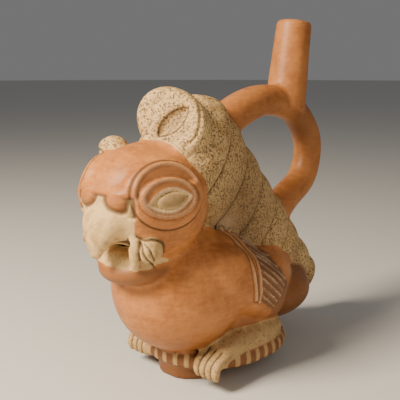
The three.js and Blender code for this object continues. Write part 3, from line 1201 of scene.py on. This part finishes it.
        # painted shade in the grooves between whorls and round the leaf-shaped hollow and rim
        lines = np.maximum(on * swell(off, 0.8), 0.8 * roll["edge"])
        paint(coats, Slip.SHADE_AND_DIRT, np.maximum(lines, 0.35 * roll["rim"]))
        left = mirrored(places)
        smoke = sum(dark * patch(left, at, reach) for at, reach, dark in self.smoke)
        smoked = on * (self.smoke_brown * np.minimum(smoke, 1) + 0.1)
        umber = np.maximum(smoked, 0.3 * roll["leaf"])
        paint(coats, Slip.UMBER_AND_SHADE, umber)
        near = np.min([form.gap(places) for form in self.forms()], axis=0)
        paint(coats, Slip.SPECKLE, ease(2.0, 0.5, near))
        worn = patch(left, self.worn_at, self.worn_reach)
        paint(coats, Slip.WEAR_AND_HIGHLIGHT, 0.5 * worn * on)


@dataclass
class Feet(Part):
    """The folded legs along the plate, and toes that curl over its front edge."""

    leg: Sequence[Point] = (
        (27, 26, 24, 8.5, 8.5),
        (30, 12, 24, 8, 8.5),
        (30, -9, 24, 8, 7),
        (29, -23, 21, 9, 6),
        (29, -30, 17, 9.5, 6),
    )
    toe_middle: float = 29
    toe_count: int = 4
    toe_spread: float = 4.7
    toe_radius: float = 3.1
    shift: float = 3.0
    cleft_depth: float = 1.2

    def toe(self, side: float, index: int) -> Limb:
        """One toe of a foot."""
        x = self.toe_middle + (index - (self.toe_count - 1) / 2) * self.toe_spread
        x, r = side * x + self.shift, self.toe_radius
        tip = (x, -36, 9.5, r * 0.8, r * 0.8)
        return Limb(((x, -26, 20, r, r), (x, -34, 18.5, r, r), (x, -37, 14, r, r), tip), 16, 12)

    def forms(self) -> list[Form]:
        """Both legs and all the toes."""
        legs = both(lambda s: Limb([(s * p[0] + self.shift, *p[1:]) for p in self.leg], 32))
        toes = [toe for i in range(self.toe_count) for toe in both(lambda s, i=i: self.toe(s, i))]
        return [*legs, *toes]

    def cream(self) -> list[Form]:
        """The feet are cream."""
        return self.forms()

    def clefts(self, places: Places) -> Values:
        """The clefts between the toes, from 0 to 1."""
        left = mirrored(places, self.shift)
        turns = (left[:, 0] - self.toe_middle) / self.toe_spread
        off = (turns - np.round(turns)) * self.toe_spread
        cleft = swell(off, 0.8) * (np.abs(turns) < self.toe_count / 2 - 0.4)
        cleft *= ease(-25, -30, left[:, 1])
        return cleft * ease(27, 24, left[:, 2]) * ease(5, 7, left[:, 2])

    def fine(self, places: Places) -> Values:
        """The toes."""
        left = mirrored(places, self.shift)
        return (left[:, 1] < -22) & (left[:, 0] > 17) & (left[:, 2] < 28)

    def carve(self, places: Places) -> Values:
        """Cuts the clefts between the toes."""
        return -self.cleft_depth * self.clefts(places)

    def dress(self, places: Places, coats: Coats) -> None:
        """Painted shade between the toes, and a light speckle."""
        # painted shade in the clefts between the toes
        paint(coats, Slip.SHADE_AND_DIRT, 0.9 * self.clefts(places))
        near = np.min([form.gap(places) for form in self.forms()], axis=0)
        paint(coats, Slip.SPECKLE, 0.5 * ease(1.5, 0.4, near))


@dataclass
class Stirrup(Part):
    """The arch behind the shell, with the spout on top."""

    arch: Sequence[Point] = (
        (0, 2, 146, 12, 12),
        (0, 24, 159, 11.5, 11.5),
        (0, 56, 166, 10.5, 10.5),
        (0, 90, 157, 10, 10),
        (0, 108, 133, 10, 10),
        (0, 102, 109, 10, 10),
        (0, 80, 95, 10.5, 10.5),
        (0, 60, 82, 12, 12),
    )
    root: Point = (0, 79, 158)
    lip: Point = (0, 88, 218.5)
    root_radius: float = 14
    lip_radius: float = 12
    bore: float = 8.5
    patch_at: Point = (0, 92, 147)
    patch_reach: float = 17
    brown: float = 0.22

    def spout(self, inset: float = 0.0, extend: float = 0.0) -> Turned:
        """The spout or its bore.

        Args:
            inset: How far the bore is inside the spout, or 0 for the spout.
            extend: How far the bore runs out past the lip.

        Returns:
            The form.
        """
        long = math.dist(self.root, self.lip)
        start, end = self.root_radius - inset, self.lip_radius - inset
        lip = 1.6 if not inset else 0.0
        profile = [(0, 0), (start, 0), (end, long - lip), (end - lip * 0.35, long - lip * 0.35)]
        profile += [(end - lip, long + extend), (0, long + extend)]
        return Turned(self.root, self.lip, profile, sides=64)

    def forms(self) -> list[Form]:
        """The arch and the spout."""
        return [Limb(self.arch, 48, 36), self.spout()]

    def dress(self, places: Places, coats: Coats) -> None:
        """A smoked patch inside the bend, and a browner arch than the bird."""
        arch = ease(2.5, 0.5, np.min([form.gap(places) for form in self.forms()], axis=0))
        arch *= 1 - coats[Slip.CREAM]
        smoked = patch(places, self.patch_at, self.patch_reach)
        paint(coats, Slip.UMBER_AND_SHADE, arch * (self.brown + 0.45 * smoked))


@dataclass
class Vessel:
    """The whole vessel: parts pressed into one skin, smoothed, carved, hollowed and slipped."""

    base: Base = field(default_factory=Base)
    body: Body = field(default_factory=Body)
    wings: Wings = field(default_factory=Wings)
    head: Head = field(default_factory=Head)
    spire: Spire = field(default_factory=Spire)
    feet: Feet = field(default_factory=Feet)
    stirrup: Stirrup = field(default_factory=Stirrup)
    grain: float = 1.7
    wall: float = 5.0
    arch_wall: float = 4.0
    hollow_grain: float = 4.5
    wobble: float = 0.5  # how far the hand-made skin wanders, over lumps of the next size
    wobble_size: float = 28

    def parts(self) -> list[Part]:
        """All sub-assemblies, from the foot up."""
        above = [self.head, self.spire, self.feet, self.stirrup]
        return [self.base, self.body, self.wings, *above]

    def pressed(self) -> bmesh.types.BMesh:
        """All forms pressed into one skin and smoothed where they meet."""
        clay = self.head.face()
        for part in self.parts():
            for form in part.forms():
                form.lay(clay)
        made = fused(clay, self.grain)
        soften(made, list(made.verts), 3)
        return made

    def finer(self, clay: bmesh.types.BMesh) -> list[bmesh.types.BMVert]:
        """The corners where some part asks for small faces."""
        places = places_of(clay)
        fine = np.any([part.fine(places) for part in self.parts()], axis=0)
        return [vert for vert, small in zip(clay.verts, fine) if small]

    def carved(self) -> tuple[bmesh.types.BMesh, Places]:
        """The carved skin, with small faces where the carving is.

        Returns:
            The mesh, and where each corner was before it was carved.
        """
        clay = self.pressed()
        chosen = set(self.finer(clay))
        edges = [edge for edge in clay.edges if chosen.issuperset(edge.verts)]
        bmesh.ops.subdivide_edges(clay, edges=edges, cuts=1, use_grid_fill=True)
        soften(clay, self.finer(clay), 2)
        clay.normal_update()
        places = places_of(clay)
        normals = np.array([vert.normal for vert in clay.verts], float)
        relief = np.sum([part.carve(places) for part in self.parts()], axis=0)
        wobble = np.array([noise.noise(vert.co / self.wobble_size) for vert in clay.verts])
        wobble *= ease(0.5, 3, places[:, 2])
        moved = places + normals * (relief + self.wobble * wobble)[:, None]
        moved[:, 2] = np.maximum(moved[:, 2], 0)
        move_to(clay, moved)
        LOG.info("carved: %d corners", len(clay.verts))
        return clay, places

    def cavity(self) -> bmesh.types.BMesh:
        """The open space inside the walls, out through the spout."""
        inside = bmesh.new()
        wall = self.wall
        for ball in (self.body.breast, self.body.back, self.body.tail, self.head.skull):
            Ball(ball.at, [r - wall for r in ball.radii], ball.turn, detail=3).lay(inside)
        whorls = self.spire.whorls()
        thin = [(max(out - wall / self.spire.breadth, 0), way) for out, way in whorls.profile[2:-2]]
        thin = [(0, thin[0][1]), *thin, (0, thin[-1][1])]
        Turned(whorls.start, whorls.end, thin, whorls.breadth, 24).lay(inside)
        thin_arch = [(*p[:3], *(r - self.arch_wall for r in p[3:])) for p in self.stirrup.arch]
        Limb(thin_arch, 12).lay(inside)
        self.stirrup.spout(self.stirrup.lip_radius - self.stirrup.bore, wall).lay(inside)
        cut = fused(inside, self.hollow_grain)
        for form in self.head.openings():
            form.lay(cut)
        return cut

    def coats(self, places: Places, hollow: Values) -> Coats:
        """The slip, with painted shade and painted highlights, at each place, given how deep in a
        hollow each is.
        """
        cream = [form for part in self.parts() for form in part.cream()]
        plain = [form for part in self.parts() for form in part.forms()]
        plain = [self.head.skull, self.head.jaw, *plain]
        kept = {repr(form) for form in cream}
        plain = [form for form in plain if repr(form) not in kept]
        to_cream = np.min([form.gap(places) for form in cream], axis=0)
        to_plain = np.min([form.gap(places) for form in plain], axis=0)
        edge = np.clip((to_plain - to_cream) / SLIP_EDGE + 0.5, 0, 1)
        blank = np.zeros(len(places))
        coats = {slip: blank.copy() for slip in Slip}
        coats[Slip.CREAM] = edge
        for part in self.parts():
            part.dress(places, coats)
        # painted shade in every crease, from how hollow the skin is there
        paint(coats, Slip.SHADE_AND_DIRT, ease(0.06, 0.28, hollow))
        # painted highlight on every ridge, from how much the skin bulges there
        paint(coats, Slip.WEAR_AND_HIGHLIGHT, 0.35 * ease(0.1, 0.3, -hollow))
        return coats

    def build(self) -> bpy.types.Object:
        """Builds the vessel.

        Returns:
            The finished piece, dressed with its slip.
        """
        skin, before = self.carved()
        after = places_of(skin)
        clay = fused(skin, 0, self.cavity())
        places = places_of(clay)
        hollow = hollowness(clay, places)
        coats = self.coats(traced(places, after, before), hollow)
        bmesh.ops.scale(clay, vec=(MM, MM, MM), verts=clay.verts)
        piece = as_object(clay, "vessel_clay")
        for slip, values in coats.items():
            layer = piece.data.attributes.new(slip.value, "FLOAT", "POINT")
            layer.data.foreach_set("value", values.astype(np.float32))
        piece.data.shade_smooth()
        piece.data.materials.append(SlippedClay().material())
        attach(piece, "root")
        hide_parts(NODE)
        return piece


# ---------------------------------------------------------------- finishes


class Wire:
    """A value on its way through a material, for sums written as plain expressions."""

    def __init__(self, shade: "Shade", socket: bpy.types.NodeSocket) -> None:
        """Keeps the socket and the material that it belongs to."""
        self.shade = shade
        self.socket = socket

    def maths(self, operation: str, *values: "Wire | float") -> "Wire":
        """A Math node on this value and others."""
        return self.shade.maths(operation, self, *values)

    def __add__(self, other: "Wire | float") -> "Wire":
        """This value plus another."""
        return self.maths("ADD", other)

    def __radd__(self, other: float) -> "Wire":
        """A number plus this value."""
        return self.maths("ADD", other)

    def __sub__(self, other: "Wire | float") -> "Wire":
        """This value less another."""
        return self.maths("SUBTRACT", other)

    def __rsub__(self, other: float) -> "Wire":
        """A number less this value."""
        return self.shade.maths("SUBTRACT", other, self)

    def __mul__(self, other: "Wire | float") -> "Wire":
        """This value times another."""
        return self.maths("MULTIPLY", other)

    def __rmul__(self, other: float) -> "Wire":
        """A number times this value."""
        return self.maths("MULTIPLY", other)


class Shade:
    """One material's nodes, built round its Principled shader."""

    def __init__(self, name: str) -> None:
        """Starts a material with only its shader and output."""
        self.material = bpy.data.materials.new(name)
        self.material.use_nodes = True
        self.nodes = self.material.node_tree.nodes
        self.links = self.material.node_tree.links
        self.shader = self.nodes["Principled BSDF"]

    def put(self, socket: bpy.types.NodeSocket, value: object) -> None:
        """Links a wire to a socket, or sets a constant on it."""
        if isinstance(value, Wire):
            self.links.new(value.socket, socket)
        else:
            socket.default_value = value

    def node(
        self, kind: str, settings: dict[str, object] | None = None, values: dict | None = None
    ) -> bpy.types.Node:
        """Adds a node.

        Args:
            kind: The node's type.
            settings: Its own settings, set first.
            values: A value or wire for each socket, by name or number.

        Returns:
            The node.
        """
        made = self.nodes.new(kind)
        for name, value in (settings or {}).items():
            setattr(made, name, value)
        for name, value in (values or {}).items():
            self.put(made.inputs[name], value)
        return made

    def wire(self, made: bpy.types.Node, output: str | int = 0) -> Wire:
        """One output of a node as a wire."""
        return Wire(self, made.outputs[output])

    def maths(self, operation: str, *values: "Wire | float") -> Wire:
        """A Math node's result."""
        made = self.node("ShaderNodeMath", {"operation": operation}, dict(enumerate(values)))
        return self.wire(made)

    def coat(self, slip: Slip) -> Wire:
        """The piece's own record of a slip."""
        return self.wire(self.node("ShaderNodeAttribute", {"attribute_name": slip.value}), "Fac")

    def grain(
        self, size: float, detail: float = 2.0, rough: float = 0.5, stretch: Point = (1, 1, 1)
    ) -> Wire:
        """Cloudy noise from 0 to 1.

        Args:
            size: How many millimetres across the clouds are, about.
            detail: How many finer layers are added.
            rough: How strong the finer layers are.
            stretch: Scale along each axis; less than 1 draws the clouds out.

        Returns:
            The noise.
        """
        place = self.node("ShaderNodeTexCoord")
        turned = self.node(
            "ShaderNodeMapping", None, {"Vector": self.wire(place, "Object"), "Scale": stretch}
        )
        values = {
            "Vector": self.wire(turned),
            "Scale": 1.0 / (size * MM),
            "Detail": detail,
            "Roughness": rough,
        }
        return self.wire(self.node("ShaderNodeTexNoise", None, values))

    def step(self, value: "Wire", low: float, high: float) -> Wire:
        """A smooth step from 0 at low to 1 at high."""
        settings = {"interpolation_type": "SMOOTHSTEP"}
        values = {"Value": value, "From Min": low, "From Max": high}
        return self.wire(self.node("ShaderNodeMapRange", settings, values))

    def mix(self, share: "Wire | float", first: object, second: object) -> Wire:
        """A colour between two others."""
        made = self.node("ShaderNodeMix", {"data_type": "RGBA"})
        self.put(made.inputs["Factor"], share)
        self.put(made.inputs[6], first)
        self.put(made.inputs[7], second)
        return self.wire(made, 2)


@dataclass(frozen=True)
class SlippedClay:
    """Fired clay under burnished red slip and matte cream slip, worn and stained, with painted
    shade in its creases and painted highlights on its ridges.
    """

    red: Point = (0.55, 0.215, 0.060, 1)
    red_deep: Point = (0.35, 0.118, 0.028, 1)
    cream: Point = (0.70, 0.47, 0.21, 1)
    cream_deep: Point = (0.42, 0.245, 0.085, 1)
    umber: Point = (0.085, 0.034, 0.014, 1)
    speck: Point = (0.07, 0.035, 0.016, 1)
    pale: Point = (0.62, 0.45, 0.28, 1)
    roughness: float = 0.46
    specular: float = 0.3
    bump: float = 0.35  # strength of the pitting, and its depth in millimetres

    def material(self) -> bpy.types.Material:
        """Builds the material."""
        shade = Shade("slipped_clay")
        cloud = shade.grain(22, 3)
        mottle = shade.grain(4.5, 5, 0.65)
        dust = shade.grain(1.3, 3, 0.7)
        streak = shade.grain(3.0, 3, 0.6, (0.35, 0.35, 2.2))
        red_tone = shade.step(cloud * 0.45 + mottle * 0.35 + streak * 0.2, 0.36, 0.62)
        red = shade.mix(red_tone, self.red_deep, self.red)
        cream_tone = shade.step(cloud * 0.4 + mottle * 0.6, 0.32, 0.58)
        cream = shade.mix(cream_tone, self.cream_deep, self.cream)
        speckle = shade.coat(Slip.SPECKLE)
        specks = shade.step(dust + speckle * 0.1, 0.56, 0.72) * (0.3 + speckle * 0.55)
        cream = shade.mix(specks, cream, self.speck)
        edge = shade.step(shade.coat(Slip.CREAM) + (mottle - 0.5) * 0.12, 0.46, 0.54)
        base = shade.mix(edge, red, cream)
        # the umber colour is brown slip and smoke, and painted shade where that coat holds it
        umber = shade.coat(Slip.UMBER_AND_SHADE) * (0.75 + mottle * 0.5)
        colour = shade.mix(umber, base, self.umber)
        # wear, and painted highlights on ridges, mixed towards the pale colour
        wear_and_highlight = shade.coat(Slip.WEAR_AND_HIGHLIGHT) * shade.step(dust, 0.3, 0.55)
        colour = shade.mix(wear_and_highlight, colour, self.pale)
        # painted shade in creases and lines, with some dirt, mixed towards the dark speck colour
        crease_shade_and_dirt = shade.step(shade.coat(Slip.SHADE_AND_DIRT) + (dust - 0.5) * 0.3, 0.2, 0.8)
        colour = shade.mix(crease_shade_and_dirt * 0.82, colour, self.speck)
        shade.put(shade.shader.inputs["Base Color"], colour)
        rough = self.roughness + edge * 0.2 + (mottle - 0.5) * 0.25 + crease_shade_and_dirt * 0.2
        shade.put(shade.shader.inputs["Roughness"], rough)
        shade.put(shade.shader.inputs["Specular IOR Level"], self.specular)
        pitting = {"Strength": self.bump, "Distance": self.bump * MM}
        bump = shade.node("ShaderNodeBump", None, pitting)
        shade.put(bump.inputs["Height"], mottle * 0.6 + dust * (0.25 + edge * 0.5))
        shade.put(shade.shader.inputs["Normal"], shade.wire(bump))
        return shade.material


@dataclass(frozen=True)
class PaleGround:
    """The plain pale floor under the vessel."""

    colour: Point = (0.62, 0.61, 0.59, 1)
    dust: Point = (0.5, 0.49, 0.47, 1)
    dust_size: float = 120
    dustiness: float = 0.03
    roughness: float = 0.8

    def material(self) -> bpy.types.Material:
        """Builds the material."""
        shade = Shade("pale_ground")
        share = shade.grain(self.dust_size, 1) * self.dustiness
        tone = shade.mix(share, self.colour, self.dust)
        shade.put(shade.shader.inputs["Base Color"], tone)
        shade.put(shade.shader.inputs["Roughness"], self.roughness)
        return shade.material


# ---------------------------------------------------------------- the studio


@dataclass(frozen=True)
class Lamp:
    """A soft, warm square light: place and aim in millimetres, size in metres and its power."""

    name: str
    place: Point
    aim: Point
    size: float
    power: float
    warmth: Point = (1.0, 0.86, 0.66)

    def hang(self) -> None:
        """Adds the light to the scene."""
        data = bpy.data.lights.new(self.name, "AREA")
        data.size = self.size
        data.color = self.warmth
        data.energy = self.power
        made = bpy.data.objects.new(self.name, data)
        bpy.context.scene.collection.objects.link(made)
        made.location = Vector(self.place) * MM
        way = Vector(self.aim) - Vector(self.place)
        made.rotation_euler = way.to_track_quat("-Z", "Y").to_euler()


@dataclass(frozen=True)
class Studio:
    """A pale floor, soft lights and the camera in front of the bird's left cheek."""

    eye: Point = (287.7, -319.6, 190.0)
    heading: float = 42.7
    tilt: float = -11.07
    lens: float = 62.73
    floor_radius: float = 8.0
    key: Lamp = Lamp("key", (-150, -640, 640), (0, 0, 100), 0.28, 19.0)
    fill: Lamp = Lamp("fill", (700, -100, 300), (0, 0, 90), 0.9, 2.0)
    surround: Point = (0.8, 0.8, 0.8, 1)
    surround_strength: float = 0.22

    def floor(self) -> bpy.types.Object:
        """A wide round floor at the vessel's foot."""
        mesh = bmesh.new()
        bmesh.ops.create_circle(mesh, cap_ends=True, segments=96, radius=self.floor_radius)
        ground = as_object(mesh, "ground")
        ground.data.transform(Matrix.Translation((0, 0, CAD_BOX[0].z)))
        ground.data.materials.append(PaleGround().material())
        return ground

    def camera(self) -> bpy.types.Object:
        """The camera, which the scene looks through."""
        data = bpy.data.cameras.new("view")
        data.lens = self.lens
        data.sensor_width = 36
        data.clip_start = 0.01
        made = bpy.data.objects.new("view", data)
        bpy.context.scene.collection.objects.link(made)
        made.location = Vector(self.eye) * MM
        turn, dip = math.radians(self.heading), math.radians(self.tilt)
        made.rotation_euler = (math.pi / 2 + dip, 0, turn)
        bpy.context.scene.camera = made
        return made

    def light_up(self) -> None:
        """Soft light from the upper left, a weak fill and a pale surround."""
        self.key.hang()
        self.fill.hang()
        world = bpy.data.worlds.new("surround")
        world.use_nodes = True
        sky = world.node_tree.nodes["Background"]
        sky.inputs["Color"].default_value = self.surround
        sky.inputs["Strength"].default_value = self.surround_strength
        bpy.context.scene.world = world


def main() -> None:
    """Builds the vessel and the studio, and reports each piece."""
    logging.basicConfig(level=logging.INFO, format="%(message)s")
    studio = Studio()
    studio.camera()
    studio.light_up()
    LOG.info("stage: %s", studio.floor().name)
    piece = Vessel().build()
    piece.data.calc_loop_triangles()
    LOG.info("%s: %d triangles", piece.name, len(piece.data.loop_triangles))


if __name__ == "__main__":
    main()
